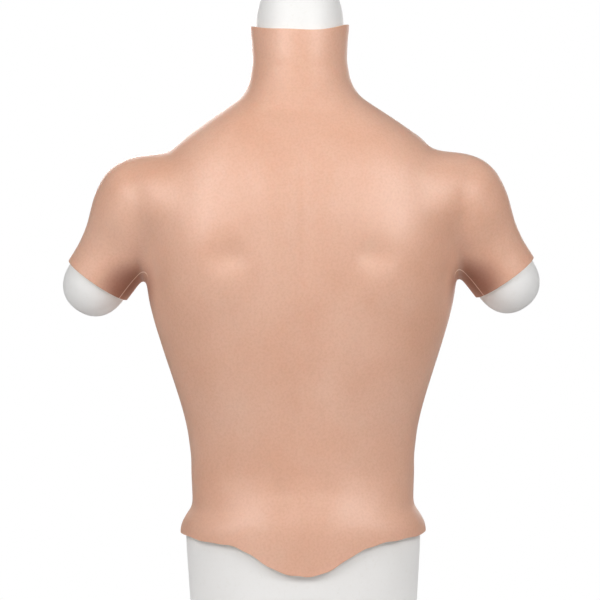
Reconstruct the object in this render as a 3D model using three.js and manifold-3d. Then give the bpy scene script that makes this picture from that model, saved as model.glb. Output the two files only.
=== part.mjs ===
// A headless torso mannequin dressed in a pull-on rubber skin.
// A hollow white form in two halves stands on four rubber feet: the hip block below, and above it the
// torso, which lifts off a steel spigot at the waist. Domed caps plug into the neck and the two arm
// stubs. The skin is one stretchy shell with a stand-up collar, short sleeves and a wavy hem.
// Millimetres, +Z up. The chest faces -Y and the mannequin's left arm is on +X.
import * as THREE from "three";
import { LoftGeometry } from "three/addons/geometries/LoftGeometry.js";
import { mergeVertices } from "three/addons/utils/BufferGeometryUtils.js";
import Module from "manifold-3d";

const wasm = await Module();
wasm.setup();

// ---------------------------------------------------------------- driving dimensions

// Heights, each measured from the one before it.
const hipHeight = 186; // floor to the waist joint
const ribHeight = 226; // waist joint to the armpits
const shoulderHeight = 156; // armpits to the top of the shoulders
const slopeHeight = 72; // top of the shoulders to the root of the neck

// Full widths and depths of the dressed body. Depths are split into a front and a back reach.
const waistWidth = 238;
const chestWidth = 344;
const neckWidth = 103;
const chestReach = 116;
const bladeReach = 116;
const bellyReach = 84;
const lumbarReach = 76;
const hipOverhang = 8; // how far the hip block stands out beyond the waist, at each side
const hipDepthOverhang = 5; // and how far it stands out in front

// Neck: a round stub that leans forward.
const neckLean = 10;
const neckRootY = 4;
const neckLength = 63; // root to the collar's edge
const neckCapRise = 60; // collar's edge to the top of the dome
const collarFlare = 2.7;

// Arms: round stubs that point out, down and a little forward.
const shoulderBreadth = 332; // between the two shoulder centres
const shoulderCentreRise = 96; // armpits to the shoulder centres
const armSpread = 35;
const armForward = 7;
const deltoidRadius = 57.5;
const armRadius = 38.5; // of the sleeve at its cuff
const armLength = 97; // shoulder centre to the cuff
const armCapReach = 40; // cuff to the end of the dome
const domeSquareness = 2.3; // exponent of the domes' outline

// Skin and form.
const skinThickness = 3;
const skinGap = 1.2; // between the skin and the form under it
const capClearance = 0.5; // between a cap and the skin it slides out of
const formWall = 3.5;
const hipWall = 4;
const jointGap = 0.3; // between pieces that touch
const hemDip = 35; // how far the hem dips at the middle of the front and the back
const hemDrop = 36; // waist joint down to the hem beside that dip
const hemRise = 8; // how much the hem rises again at each side
const hemDipWidth = 186;
const hemClearance = 3.5; // between the flared skin and the hip block, at each side

// Boards, fittings and feet.
const boardThickness = 15;
const footHeight = 8;
const footRadius = 14;
const footSpreadX = 80;
const footSpreadY = 48;
const footPocketDepth = 3.7; // of the pocket that hides the screw's head
const footPocketClearance = 1.2; // around the head
const spigotRadius = 12.5;
const spigotHeight = 60; // above the waist joint
const socketDepth = 40; // above the base board
const bushRise = 10; // how far the bush stands above the spigot's end
const tubeWall = 2;
const slideClearance = 0.5;
const flangeRadius = 40;
const flangeThickness = 3;
const screwCircle = 30;
const screwsPerFlange = 4;
const screwRadius = 1.6;
const screwHeadRadius = 3.4;
const screwHeadHeight = 2;
const screwLength = 11;
const keyPinRadius = 4;
const keyPinGap = 26; // between a pin and the spigot's flange
const keyPinSeat = 11; // how deep it sits in each board

// Plugs that hold the three caps.
const plugInset = 9; // the plug is this much smaller in radius than its cap
const plugWall = 2.5;
const plugLength = 18;
const plugFlange = 3;
const plugFlangeRise = 3; // the flange's height above the cap's edge
const bandWidth = 4;
const bandDepth = 1.6; // how deep the grip band's groove is
const bandProud = 1.2; // how far the grip band stands out of it
const ringLength = 14;

// Facets around the body, around the limbs and around the small turned pieces.
const bodyFacets = 24;
const limbFacets = 16;
const turnedFacets = 12;
const screwFacets = 8;
const ballSteps = 4; // from a limb's inner end to its full radius
const domeSteps = 5; // from the edge of a dome to its top
const bodySquareness = 2.3; // exponent of the body's superelliptic section

// ---------------------------------------------------------------- places that follow

const waistZ = hipHeight;
const armpitZ = waistZ + ribHeight;
const shoulderZ = armpitZ + shoulderHeight;
const neckZ = shoulderZ + slopeHeight;
const hemZ = waistZ - hemDrop;
const baseZ = footHeight;
const formInset = skinThickness + skinGap;
const keyPinReach = flangeRadius + keyPinGap + keyPinRadius;
const hipWidth = waistWidth + 2 * hipOverhang;
const hipReach = bellyReach + hipDepthOverhang;
const hemFlare = hipOverhang + skinThickness + hemClearance;
const radians = THREE.MathUtils.degToRad;
const blend = THREE.MathUtils.lerp;

// ---------------------------------------------------------------- materials

const material = (color, roughness, metalness = 0) =>
  new THREE.MeshStandardMaterial({ color, roughness, metalness });
const skinRubber = material(0xe0b096, 0.55);
const whitePlastic = material(0xeae6e0, 0.45);
const plywood = material(0xc8a678, 0.75);
const steel = material(0xb9bcc0, 0.35, 0.9);
const blackRubber = material(0x202022, 0.8);

// ---------------------------------------------------------------- solids

function solidOf(geometry) {
  const bare = new THREE.BufferGeometry();
  bare.setAttribute("position", geometry.attributes.position).setIndex(geometry.index);
  const merged = mergeVertices(bare, 1e-3);
  return new wasm.Manifold(
    new wasm.Mesh({
      numProp: 3,
      vertProperties: merged.attributes.position.array,
      triVerts: new Uint32Array(merged.index.array),
    }),
  );
}

function geometryOf(solid) {
  const mesh = solid.getMesh();
  return new THREE.BufferGeometry()
    .setAttribute("position", new THREE.BufferAttribute(mesh.vertProperties, 3))
    .setIndex(new THREE.BufferAttribute(mesh.triVerts, 1));
}

// A turned piece about Z. The profile is a list of [radius, height] that runs so that the solid is on
// its left, and it starts and ends on the axis or at the same point.
function turned(profile, facets = turnedFacets) {
  const points = profile.map(([r, h]) => new THREE.Vector2(r, h));
  return new THREE.LatheGeometry(points, facets).rotateX(Math.PI / 2);
}

// A tube about Z, from one height to another.
function tube(inner, outer, low, high, facets = turnedFacets) {
  const profile = [[inner, low], [outer, low], [outer, high], [inner, high], [inner, low]];
  return turned(profile, facets);
}

function rod(radius, low, high, facets = turnedFacets) {
  return turned([[0, low], [radius, low], [radius, high], [0, high]], facets);
}

// A smooth value between stations: rows of numbers, sorted by their first one.
function between(stations, at) {
  const last = stations.length - 1;
  const i = THREE.MathUtils.clamp(stations.findIndex((s) => s[0] > at) - 1, 0, last - 1);
  if (at >= stations[last][0]) return stations[last];
  const [a, b] = [stations[i], stations[i + 1]];
  const before = stations[Math.max(i - 1, 0)];
  const after = stations[Math.min(i + 2, last)];
  const span = b[0] - a[0];
  const t = THREE.MathUtils.clamp((at - a[0]) / span, 0, 1);
  return a.map((value, k) => {
    const leave = ((b[k] - before[k]) / (b[0] - before[0])) * span;
    const arrive = ((after[k] - a[k]) / (after[0] - a[0])) * span;
    const t2 = t * t;
    const t3 = t2 * t;
    return (
      value * (2 * t3 - 3 * t2 + 1) + leave * (t3 - 2 * t2 + t) +
      b[k] * (3 * t2 - 2 * t3) + arrive * (t3 - t2)
    );
  });
}

// ---------------------------------------------------------------- body: horizontal sections

// Each row is [height, half width, front reach, back reach].
const shareOfRibs = (share) => waistZ + share * ribHeight;
const shareOfSlope = (share) => shoulderZ + share * slopeHeight;
const ribHalf = (share) => blend(waistWidth / 2, chestWidth / 2, share);
const slopeHalf = (share) => blend(chestWidth / 2, neckWidth / 2 - 1.5, share);
const frontReach = (share) => blend(bellyReach, chestReach, share);
const backReach = (share) => blend(lumbarReach, bladeReach, share);
const rootFront = neckWidth / 2 - neckRootY - 2;
const rootBack = neckWidth / 2 + neckRootY - 2;

const bodyStations = [
  [waistZ, ribHalf(0), bellyReach, lumbarReach],
  [shareOfRibs(0.35), ribHalf(0.06), frontReach(0.08), backReach(0.02)],
  [shareOfRibs(0.5), ribHalf(0.23), frontReach(0.2), backReach(0.12)],
  [shareOfRibs(0.73), ribHalf(0.57), frontReach(0.5), backReach(0.4)],
  [shareOfRibs(0.97), ribHalf(0.88), frontReach(0.85), backReach(0.7)],
  [armpitZ + 0.25 * shoulderHeight, ribHalf(1), chestReach, backReach(0.92)],
  [armpitZ + 0.57 * shoulderHeight, ribHalf(1), frontReach(0.85), bladeReach],
  [armpitZ + 0.83 * shoulderHeight, ribHalf(0.93), frontReach(0.45), backReach(0.8)],
  [shoulderZ, slopeHalf(0.1), frontReach(0), backReach(0.5)],
  [shareOfSlope(0.3), slopeHalf(0.4), blend(bellyReach, rootFront, 0.55), blend(bladeReach, rootBack, 0.5)],
  [shareOfSlope(0.6), slopeHalf(0.69), blend(bellyReach, rootFront, 0.9), blend(bladeReach, rootBack, 0.78)],
  [shareOfSlope(0.9), slopeHalf(0.93), rootFront, blend(bladeReach, rootBack, 0.95)],
  [neckZ, slopeHalf(1), rootFront, rootBack],
];

// The skin flares over the hip block and hangs clear of it.
const skirtClear = skinThickness + 1;
const skirtFlare = (share) => waistWidth / 2 + share * hemFlare;
const skirtStations = [
  [hemZ - hemDip - 10, skirtFlare(0.9), hipReach + skirtClear, hipReach + skirtClear],
  [hemZ, skirtFlare(0.92), hipReach + skirtClear, hipReach + skirtClear],
  [hemZ + hemRise, skirtFlare(1), hipReach + skirtClear, hipReach + skirtClear - 1],
  [blend(hemZ + hemRise, waistZ, 0.3), skirtFlare(0.78), hipReach + 3, hipReach + 1],
  [blend(hemZ + hemRise, waistZ, 0.65), skirtFlare(0.38), bellyReach + 4.5, lumbarReach + 8.5],
];
const skinStations = [...skirtStations, ...bodyStations];

// The hip block: a tapering column with a rounded top edge under the waist joint.
const hipStations = [
  [baseZ, hipWidth / 2 - 9, hipReach - 7, hipReach - 7],
  [blend(baseZ, waistZ, 0.4), hipWidth / 2 - 4.4, hipReach - 3, hipReach - 3],
  [blend(baseZ, waistZ, 0.8), hipWidth / 2, hipReach, hipReach - 1],
  [blend(baseZ, waistZ, 0.88), hipWidth / 2 - 1.6, hipReach - 1.5, hipReach - 3.2],
  [blend(baseZ, waistZ, 0.945), hipWidth / 2 - 7.2, hipReach - 5.5, hipReach - 9.5],
  [waistZ, waistWidth / 2 - formInset - 1, bellyReach - formInset, lumbarReach - formInset],
];

function bodySection(stations, z, inset) {
  const [, halfWidth, front, back] = between(stations, z);
  return Array.from({ length: bodyFacets }, (_, i) => {
    const angle = (i / bodyFacets) * 2 * Math.PI;
    const shape = (value) => Math.sign(value) * Math.abs(value) ** (2 / bodySquareness);
    const reach = Math.sin(angle) > 0 ? back : front;
    const x = (halfWidth - inset) * shape(Math.cos(angle));
    return new THREE.Vector3(x, (reach - inset) * shape(Math.sin(angle)), z);
  });
}

// A closed loft through the stations that lie between two heights.
function bodyLoft(stations, low, high, inset) {
  const inner = stations.map((s) => s[0]).filter((z) => z > low + 2 && z < high - 2);
  const sections = [low, ...inner, high].map((z) => bodySection(stations, z, inset));
  return new LoftGeometry(sections, { capStart: true, capEnd: true });
}

// ---------------------------------------------------------------- limbs: round sections on a straight axis

function limbPlace(root, direction) {
  const turn = new THREE.Quaternion().setFromUnitVectors(new THREE.Vector3(0, 0, 1), direction);
  return new THREE.Matrix4().compose(root, turn, new THREE.Vector3(1, 1, 1));
}

const neck = {
  name: "neck",
  place: limbPlace(
    new THREE.Vector3(0, neckRootY, neckZ),
    new THREE.Vector3(0, -Math.sin(radians(neckLean)), Math.cos(radians(neckLean))),
  ),
  // [distance along the axis, radius of the skin's outside]
  outside: [[0, neckWidth / 2], [0.42 * neckLength, neckWidth / 2],
    [neckLength, neckWidth / 2 + collarFlare]],
  end: neckLength,
  split: 0.38 * neckLength,
  capRise: neckCapRise,
};

const armSwell = (share) => blend(armRadius, deltoidRadius, share);
const arms = [["left", 1], ["right", -1]].map(([name, side]) => {
  const out = Math.sin(radians(armSpread)) * Math.cos(radians(armForward));
  const down = Math.cos(radians(armSpread)) * Math.cos(radians(armForward));
  const direction = new THREE.Vector3(side * out, -Math.sin(radians(armForward)), -down).normalize();
  const root = new THREE.Vector3((side * shoulderBreadth) / 2, 2, armpitZ + shoulderCentreRise);
  return {
    name: name + "_arm",
    place: limbPlace(root, direction),
    outside: [[0, deltoidRadius], [0.28 * armLength, armSwell(0.75)], [0.42 * armLength, armSwell(0.48)],
      [0.54 * armLength, armSwell(0.27)], [0.77 * armLength, armSwell(0.06)], [armLength, armRadius]],
    end: armLength,
    split: armLength - plugLength - 1,
    capRise: armCapReach,
  };
});

const radiusAt = (limb, distance, inset) => between(limb.outside, distance)[1] - inset;

// The radius of the form where its cap begins, which the cap keeps up to the collar or the cuff.
for (const limb of [neck, ...arms]) {
  const slimmest = Math.min(radiusAt(limb, limb.split, 0), radiusAt(limb, limb.end, 0));
  limb.capRadius = slimmest - skinThickness - capClearance;
}

// The outline of a limb, pulled in from the skin's outside: a ball inside the body, then the stations
// up to a distance along the axis.
function limbOutline(limb, inset, until) {
  const ball = radiusAt(limb, 0, inset);
  const profile = [];
  for (let i = 0; i < ballSteps; i++) {
    const angle = (i / ballSteps) * (Math.PI / 2);
    profile.push([ball * Math.sin(angle), -ball * Math.cos(angle)]);
  }
  for (const [d] of limb.outside.filter(([d]) => d < until)) profile.push([radiusAt(limb, d, inset), d]);
  return profile;
}

function limbSolid(limb, inset, extra = 0) {
  const profile = limbOutline(limb, inset, limb.end - 2);
  const tip = limb.end + extra;
  profile.push([radiusAt(limb, limb.end, inset), tip], [0, tip]);
  return solidOf(turned(profile, limbFacets).applyMatrix4(limb.place));
}

// The form's stub narrows to the radius of its cap, so that it runs into the cap without a step.
function stubSolid(limb, wall, extra = 0) {
  const sleeve = limb.split - ringLength - 2;
  const profile = limbOutline(limb, formInset + wall, sleeve - plugLength);
  const radius = limb.capRadius - wall;
  profile.push([radius, sleeve], [radius, limb.split + extra], [0, limb.split + extra]);
  return solidOf(turned(profile, limbFacets).applyMatrix4(limb.place));
}

// ---------------------------------------------------------------- skin

// The hem dips in the middle and rises towards each side, the same at the front and the back.
function hemHeight(x) {
  const half = hemDipWidth / 2;
  const inDip = Math.min(Math.abs(x) / half, 1);
  const beyond = Math.max(Math.abs(x) - half, 0) / (waistWidth / 2 + hemFlare - half);
  return hemZ - (hemDip * (1 + Math.cos(Math.PI * inDip))) / 2 + hemRise * beyond ** 2;
}

function hemCutter() {
  const reach = waistWidth;
  const steps = 20;
  const outline = new THREE.Shape();
  outline.moveTo(reach, hemZ - 2 * hemDip);
  outline.lineTo(reach, hemHeight(waistWidth / 2 + hemFlare));
  for (let i = 0; i <= steps; i++) {
    const x = (waistWidth / 2 + hemFlare) * (1 - (2 * i) / steps);
    outline.lineTo(x, hemHeight(x));
  }
  outline.lineTo(-reach, hemHeight(waistWidth / 2 + hemFlare));
  outline.lineTo(-reach, hemZ - 2 * hemDip);
  const depth = 2 * (hipReach + 60);
  const slab = new THREE.ExtrudeGeometry(outline, { depth, bevelEnabled: false });
  return solidOf(slab.rotateX(Math.PI / 2).translate(0, depth / 2, 0));
}

function skin() {
  let outside = solidOf(bodyLoft(skinStations, hemZ - hemDip - 5, neckZ, 0));
  let inside = solidOf(bodyLoft(skinStations, hemZ - hemDip - 9, neckZ, skinThickness));
  const overCollar = 2 * neckWidth * Math.tan(radians(neckLean));
  outside = outside.add(limbSolid(neck, 0, overCollar));
  inside = inside.add(limbSolid(neck, skinThickness, overCollar + 5));
  for (const arm of arms) {
    outside = outside.add(limbSolid(arm, 0));
    inside = inside.add(limbSolid(arm, skinThickness, 5));
  }
  const collarZ = neckZ + neckLength;
  const aboveCollar = solidOf(rod(2 * neckWidth, collarZ, collarZ + neckLength));
  return geometryOf(outside.subtract(inside).subtract(hemCutter()).subtract(aboveCollar));
}

// ---------------------------------------------------------------- form

// The torso's form is moulded in a front and a back half, which meet along a seam in the plane of the
// arms. side is -1 for the front half and 1 for the back half.
function torsoHalf(side) {
  const low = waistZ + jointGap;
  const top = neckZ - formInset;
  let outside = solidOf(bodyLoft(bodyStations, low, top, formInset));
  let inside = solidOf(bodyLoft(bodyStations, waistZ - 4, top - formWall, formInset + formWall));
  for (const limb of [neck, ...arms]) {
    outside = outside.add(stubSolid(limb, 0));
    inside = inside.add(stubSolid(limb, formWall, 2));
  }
  const reach = shoulderBreadth;
  const beside = new THREE.BoxGeometry(2 * reach, reach, 4 * reach);
  beside.translate(0, (side * (reach + jointGap)) / 2, shoulderZ);
  return geometryOf(outside.subtract(inside).intersect(solidOf(beside)));
}

function hipShell() {
  const outside = solidOf(bodyLoft(hipStations, baseZ, waistZ, 0));
  const inside = solidOf(bodyLoft(hipStations, baseZ - 3, waistZ + 3, hipWall));
  return geometryOf(outside.subtract(inside));
}

// A board that fills a shell from wall to wall, with a round hole for each [x, y, radius].
function board(stations, low, inset, holes) {
  const fit = inset + jointGap;
  const filling = solidOf(bodyLoft(stations, stations[0][0] - 3, stations.at(-1)[0] + 3, fit));
  const slab = solidOf(rod(waistWidth, low, low + boardThickness));
  let solid = filling.intersect(slab);
  for (const [x, y, radius] of holes) {
    const facets = radius > keyPinRadius ? turnedFacets : screwFacets;
    const bore = rod(radius, low - 2, low + boardThickness + 2, facets).translate(x, y, 0);
    solid = solid.subtract(solidOf(bore));
  }
  return geometryOf(solid);
}

// ---------------------------------------------------------------- fittings

const boltPlaces = Array.from({ length: screwsPerFlange }, (_, i) => {
  const angle = ((i + 0.5) / screwsPerFlange) * 2 * Math.PI;
  return [screwCircle * Math.cos(angle), screwCircle * Math.sin(angle)];
});
const screwHole = screwRadius + jointGap;
const boltHoles = boltPlaces.map(([x, y]) => [x, y, screwHole]);

// A pan-head screw along Z, whose head rests on height 0 and whose shank goes up.
function screw() {
  return turned([[0, -screwHeadHeight], [0.8 * screwHeadRadius, -screwHeadHeight],
    [screwHeadRadius, 0], [screwRadius, 0], [screwRadius, screwLength], [0, screwLength]], screwFacets);
}

// A flange with its tube, the tube running from tubeLow to tubeHigh. The bolt holes match the screws.
function flangedTube(inner, outer, flangeLow, tubeLow, tubeHigh) {
  let solid = solidOf(tube(inner, outer, tubeLow, tubeHigh));
  solid = solid.add(solidOf(tube(inner, flangeRadius, flangeLow, flangeLow + flangeThickness)));
  for (const [x, y, radius] of boltHoles) {
    const bore = rod(radius, flangeLow - 2, flangeLow + flangeThickness + 2, screwFacets);
    solid = solid.subtract(solidOf(bore.translate(x, y, 0)));
  }
  return geometryOf(solid);
}

// ---------------------------------------------------------------- caps and their plugs

const plugRadiusOf = (limb) => limb.capRadius - plugInset;

function capShell(limb) {
  const radius = limb.capRadius;
  const low = limb.split + jointGap;
  const domeFrom = limb.end;
  const top = limb.end + limb.capRise;
  const power = 2 / domeSquareness;
  const dome = (r, from, to) =>
    Array.from({ length: domeSteps + 1 }, (_, i) => {
      const angle = (i / domeSteps) * (Math.PI / 2);
      return [r * Math.cos(angle) ** power, from + (to - from) * Math.sin(angle) ** power];
    });
  const outside = dome(radius, domeFrom, top);
  const inside = dome(radius - formWall, domeFrom, top - formWall).reverse();
  outside[domeSteps][0] = 0;
  inside[0][0] = 0;
  return turned([...inside, [radius - formWall, low], [radius, low], ...outside], limbFacets);
}

// The plug is a tube with a flange bonded inside the cap and a groove for the grip band.
function capPlug(limb) {
  const outer = plugRadiusOf(limb);
  const inner = outer - plugWall - bandDepth;
  const low = limb.split - plugLength;
  const flangeLow = limb.split + jointGap + plugFlangeRise;
  const grooveLow = limb.split - ringLength / 2 - bandWidth / 2 - jointGap;
  const grooveHigh = grooveLow + bandWidth + 2 * jointGap;
  const flange = limb.capRadius - formWall - jointGap;
  return turned([[inner, low], [outer, low], [outer, grooveLow], [outer - bandDepth, grooveLow],
    [outer - bandDepth, grooveHigh], [outer, grooveHigh], [outer, flangeLow], [flange, flangeLow],
    [flange, flangeLow + plugFlange], [inner, flangeLow + plugFlange], [inner, low]], limbFacets);
}

function gripBand(limb) {
  const inner = plugRadiusOf(limb) - bandDepth + jointGap;
  const outer = plugRadiusOf(limb) + bandProud;
  const middle = limb.split - ringLength / 2;
  return tube(inner, outer, middle - bandWidth / 2, middle + bandWidth / 2, limbFacets);
}

// The ring bonded inside the end of the form's stub, which the grip band bears on.
function stubRing(limb) {
  const outer = limb.capRadius - formWall - jointGap;
  const inner = plugRadiusOf(limb) + bandProud + jointGap;
  return tube(inner, outer, limb.split - ringLength, limb.split, limbFacets);
}

// ---------------------------------------------------------------- assembly

const mannequin = new THREE.Group();

function put(parent, name, geometry, look, x = 0, y = 0, z = 0) {
  const mesh = new THREE.Mesh(geometry, look);
  mesh.name = name;
  mesh.position.set(x, y, z);
  parent.add(mesh);
  return mesh;
}

// Hip block.
const hips = new THREE.Group();
mannequin.add(hips);
const topBoardZ = waistZ - boardThickness;
const feet = [[1, 1], [-1, 1], [-1, -1], [1, -1]].map(([i, j]) => [i * footSpreadX, j * footSpreadY]);
const footHoles = feet.map(([x, y]) => [x, y, screwHole]);
const socketInner = spigotRadius + slideClearance;
const socketOuter = socketInner + tubeWall;
const tubeHole = (radius) => [0, 0, radius + jointGap];
const keyPins = [keyPinReach, -keyPinReach];

put(hips, "hip_shell", hipShell(), whitePlastic);
put(hips, "hip_base_board",
  board(hipStations, baseZ, hipWall, [tubeHole(socketOuter), ...boltHoles, ...footHoles]), plywood);
put(hips, "hip_top_board",
  board(hipStations, topBoardZ, hipWall, [tubeHole(spigotRadius), ...boltHoles,
    ...keyPins.map((x) => [x, 0, keyPinRadius + jointGap])]), plywood);

const socketFlangeZ = baseZ - jointGap - flangeThickness;
const socketTopZ = baseZ + boardThickness + socketDepth;
put(hips, "stand_socket",
  flangedTube(socketInner, socketOuter, socketFlangeZ, socketFlangeZ, socketTopZ), steel);
const spigotFlangeZ = topBoardZ - jointGap - flangeThickness;
const spigotTopZ = waistZ + spigotHeight;
const spigotInner = spigotRadius - tubeWall;
put(hips, "waist_spigot",
  flangedTube(spigotInner, spigotRadius, spigotFlangeZ, spigotFlangeZ, spigotTopZ), steel);
boltPlaces.forEach(([x, y], i) => {
  put(hips, `stand_socket_screw_${i + 1}`, screw(), steel, x, y, socketFlangeZ);
  put(hips, `waist_spigot_screw_${i + 1}`, screw(), steel, x, y, spigotFlangeZ);
});
keyPins.forEach((x) => {
  const name = x > 0 ? "waist_key_pin_left" : "waist_key_pin_right";
  put(hips, name, rod(keyPinRadius, waistZ - keyPinSeat, waistZ + keyPinSeat), steel, x, 0, 0);
});

feet.forEach(([x, y], i) => {
  const pocket = screwHeadRadius + footPocketClearance;
  const top = footHeight - jointGap;
  const foot = turned([[pocket, 0], [footRadius, 0], [footRadius, top], [screwHole, top],
    [screwHole, footPocketDepth], [pocket, footPocketDepth], [pocket, 0]]);
  put(hips, `foot_${i + 1}`, foot, blackRubber, x, y, 0);
  put(hips, `foot_screw_${i + 1}`, screw(), steel, x, y, footPocketDepth - jointGap);
});

// Torso, with the skin on it.
const torso = new THREE.Group();
mannequin.add(torso);
const waistBoardZ = waistZ + jointGap;
const bushFlangeZ = waistBoardZ + boardThickness + jointGap;
put(torso, "torso_front_shell", torsoHalf(-1), whitePlastic);
put(torso, "torso_back_shell", torsoHalf(1), whitePlastic);
put(torso, "waist_board",
  board(bodyStations, waistBoardZ, formInset + formWall, [tubeHole(socketOuter), ...boltHoles,
    ...keyPins.map((x) => [x, 0, keyPinRadius + 2 * jointGap])]), plywood);
const bushLowZ = waistBoardZ + jointGap;
put(torso, "waist_bush",
  flangedTube(socketInner, socketOuter, bushFlangeZ, bushLowZ, spigotTopZ + bushRise), steel);
boltPlaces.forEach(([x, y], i) => {
  const turnedOver = screw().rotateX(Math.PI);
  put(torso, `waist_bush_screw_${i + 1}`, turnedOver, steel, x, y, bushFlangeZ + flangeThickness);
});
put(torso, "skin", skin(), skinRubber);

// Stub rings on the torso, and the caps that pull off along each limb's axis.
for (const limb of [neck, ...arms]) {
  const stub = new THREE.Group();
  stub.applyMatrix4(limb.place);
  mannequin.add(stub);
  put(stub, `${limb.name}_ring`, stubRing(limb), whitePlastic);
  put(stub, `${limb.name}_cap`, capShell(limb), whitePlastic);
  put(stub, `${limb.name}_plug`, capPlug(limb), whitePlastic);
  put(stub, `${limb.name}_grip_band`, gripBand(limb), blackRubber);
}

export default mannequin;
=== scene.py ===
import math

import bmesh
import bpy
import numpy as np
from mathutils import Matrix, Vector


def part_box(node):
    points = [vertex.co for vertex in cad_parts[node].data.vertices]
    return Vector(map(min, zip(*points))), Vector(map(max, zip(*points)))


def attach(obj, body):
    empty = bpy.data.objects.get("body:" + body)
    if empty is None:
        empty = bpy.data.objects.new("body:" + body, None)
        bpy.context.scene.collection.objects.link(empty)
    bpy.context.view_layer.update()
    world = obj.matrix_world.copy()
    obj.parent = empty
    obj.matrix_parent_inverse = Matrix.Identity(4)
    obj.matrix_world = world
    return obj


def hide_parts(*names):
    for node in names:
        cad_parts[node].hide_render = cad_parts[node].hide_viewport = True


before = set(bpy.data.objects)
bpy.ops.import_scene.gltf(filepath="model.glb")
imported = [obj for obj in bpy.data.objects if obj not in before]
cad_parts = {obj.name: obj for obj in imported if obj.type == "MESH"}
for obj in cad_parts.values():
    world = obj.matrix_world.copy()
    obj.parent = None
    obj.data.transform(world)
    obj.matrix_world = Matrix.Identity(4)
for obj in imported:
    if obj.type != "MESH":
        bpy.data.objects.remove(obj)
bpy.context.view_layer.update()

# ---------------------------------------------------------------- Skin
# A pull-on shell of soft silicone rubber, cast about 3 mm thick in the shape of a muscular torso, with
# a stand-up collar, short sleeves and a hem trimmed by hand. It holds on by its own stretch.

MM = 0.001
SKIN_THICKNESS = 3.0
GRID_STEP = 3.2  # millimetres between the samples of the body's shape

# The trunk's outline at each height: height, half width, reach to the front, reach to the back, all in mm.
TRUNK = np.array([
    (90, 131, 93, 93), (146, 132, 93, 93), (158, 133.5, 92.5, 92), (167, 131, 92, 90.5),
    (176, 125.5, 89.5, 87.5), (184, 119.5, 86.5, 84), (200, 120.3, 84.5, 79), (220, 121.3, 84, 76),
    (265, 123.3, 86, 80.5), (297, 131.5, 92, 87), (351, 149, 102, 98), (405, 165.5, 110, 107),
    (451, 171, 111, 109), (501, 168, 104, 110), (541, 160, 88, 103), (568, 144, 72, 92),
    (590, 118, 61, 79), (611, 85, 52, 64), (633, 51, 43, 50), (645, 40, 36, 42),
], float)
TRUNK_SQUARENESS = 2.35
TRUNK_TOP = 646.0
FINE_ROUNDING, WIDE_ROUNDING = 8, 36  # how far up and down the outline is evened out
WIDE_START, WIDE_BLEND = 215, 60  # the wide rounding starts at a height, and is full that much above it

# The neck and the arms are round and straight: a root, a direction, and the radius along the way.
NECK_ROOT = np.array([0, 4.0, 640.0])
NECK_LEAN = math.radians(10)
NECK_AXIS = np.array([0, -math.sin(NECK_LEAN), math.cos(NECK_LEAN)])
NECK_RADII = ([0, 26, 45, 63, 90], [51.5, 51.3, 52.3, 54.2, 55])
ARM_SPREAD, ARM_FORWARD = math.radians(35), math.radians(7)
ARM_ROOT = np.array([166.0, 2.0, 508.0])
ARM_AXIS = np.array([
    math.sin(ARM_SPREAD) * math.cos(ARM_FORWARD), -math.sin(ARM_FORWARD),
    -math.cos(ARM_SPREAD) * math.cos(ARM_FORWARD),
])
ARM_RADII = ([0, 14, 27, 41, 52, 63, 75, 97, 120], [57.5, 56, 53, 48, 44, 41.5, 39.5, 38.5, 38.5])
CUFF_REACH = 97.0  # from the shoulder's centre to the sleeve's edge
SHOULDER_FLATNESS = 1.1  # 1 is a round ball over the shoulder
ARM_FILLET = ([400, 440, 470, 500, 535, 570], [5, 9, 19, 36, 40, 18])  # its width at each height
NECK_FILLET = 20
ARM_SPARE, NECK_FOOT = 14, 30  # arm beyond the cuff, to be cut off, and neck down inside the trunk
ARM_CUT_REACH = 62  # nothing but the arm lies this near to the cuff's middle

COLLAR_HEIGHT = 703.0
COLLAR_BACK_DIP = 10.5
COLLAR_RADIUS = 52
HEM_LOW = 115.2
HEM_RISE, HEM_DIP_REACH = 35.0, 93  # from the middle to the ends of the dip at the back and the front
HEM_SIDE_RISE, HEM_SIDE_REACH = 6, 40
RIM_WIDTH, RIM_ANGLE = 0.9, 55


def along_and_off(x, y, z, root, axis):
    """How far points lie along a limb's axis from its root, and how far off that axis."""
    dx, dy, dz = x - root[0], y - root[1], z - root[2]
    along = dx * axis[0] + dy * axis[1] + dz * axis[2]
    off = np.sqrt(np.maximum(dx * dx + dy * dy + dz * dz - along * along, 0))
    return along, off


def melt(a, b, width):
    """The union of two shapes, with their crease filled by a fillet."""
    share = np.clip(0.5 + 0.5 * (b - a) / width, 0, 1)
    return b + (a - b) * share - width * share * (1 - share)


def outline_at(z, column):
    """One column of the trunk's outline at any height, rounded off widely above the hem's flare."""
    heights = np.arange(TRUNK[0, 0], TRUNK[-1, 0] + 80, 1.0)
    raw = np.interp(heights, TRUNK[:, 0], TRUNK[:, column])
    tight, wide = (
        np.convolve(np.pad(raw, half, mode="edge"), np.hanning(2 * half + 1) / half, "valid")
        for half in (FINE_ROUNDING, WIDE_ROUNDING)
    )
    share = np.clip((heights - WIDE_START) / WIDE_BLEND, 0, 1)
    return np.interp(z, heights, tight + (wide - tight) * share)


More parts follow.
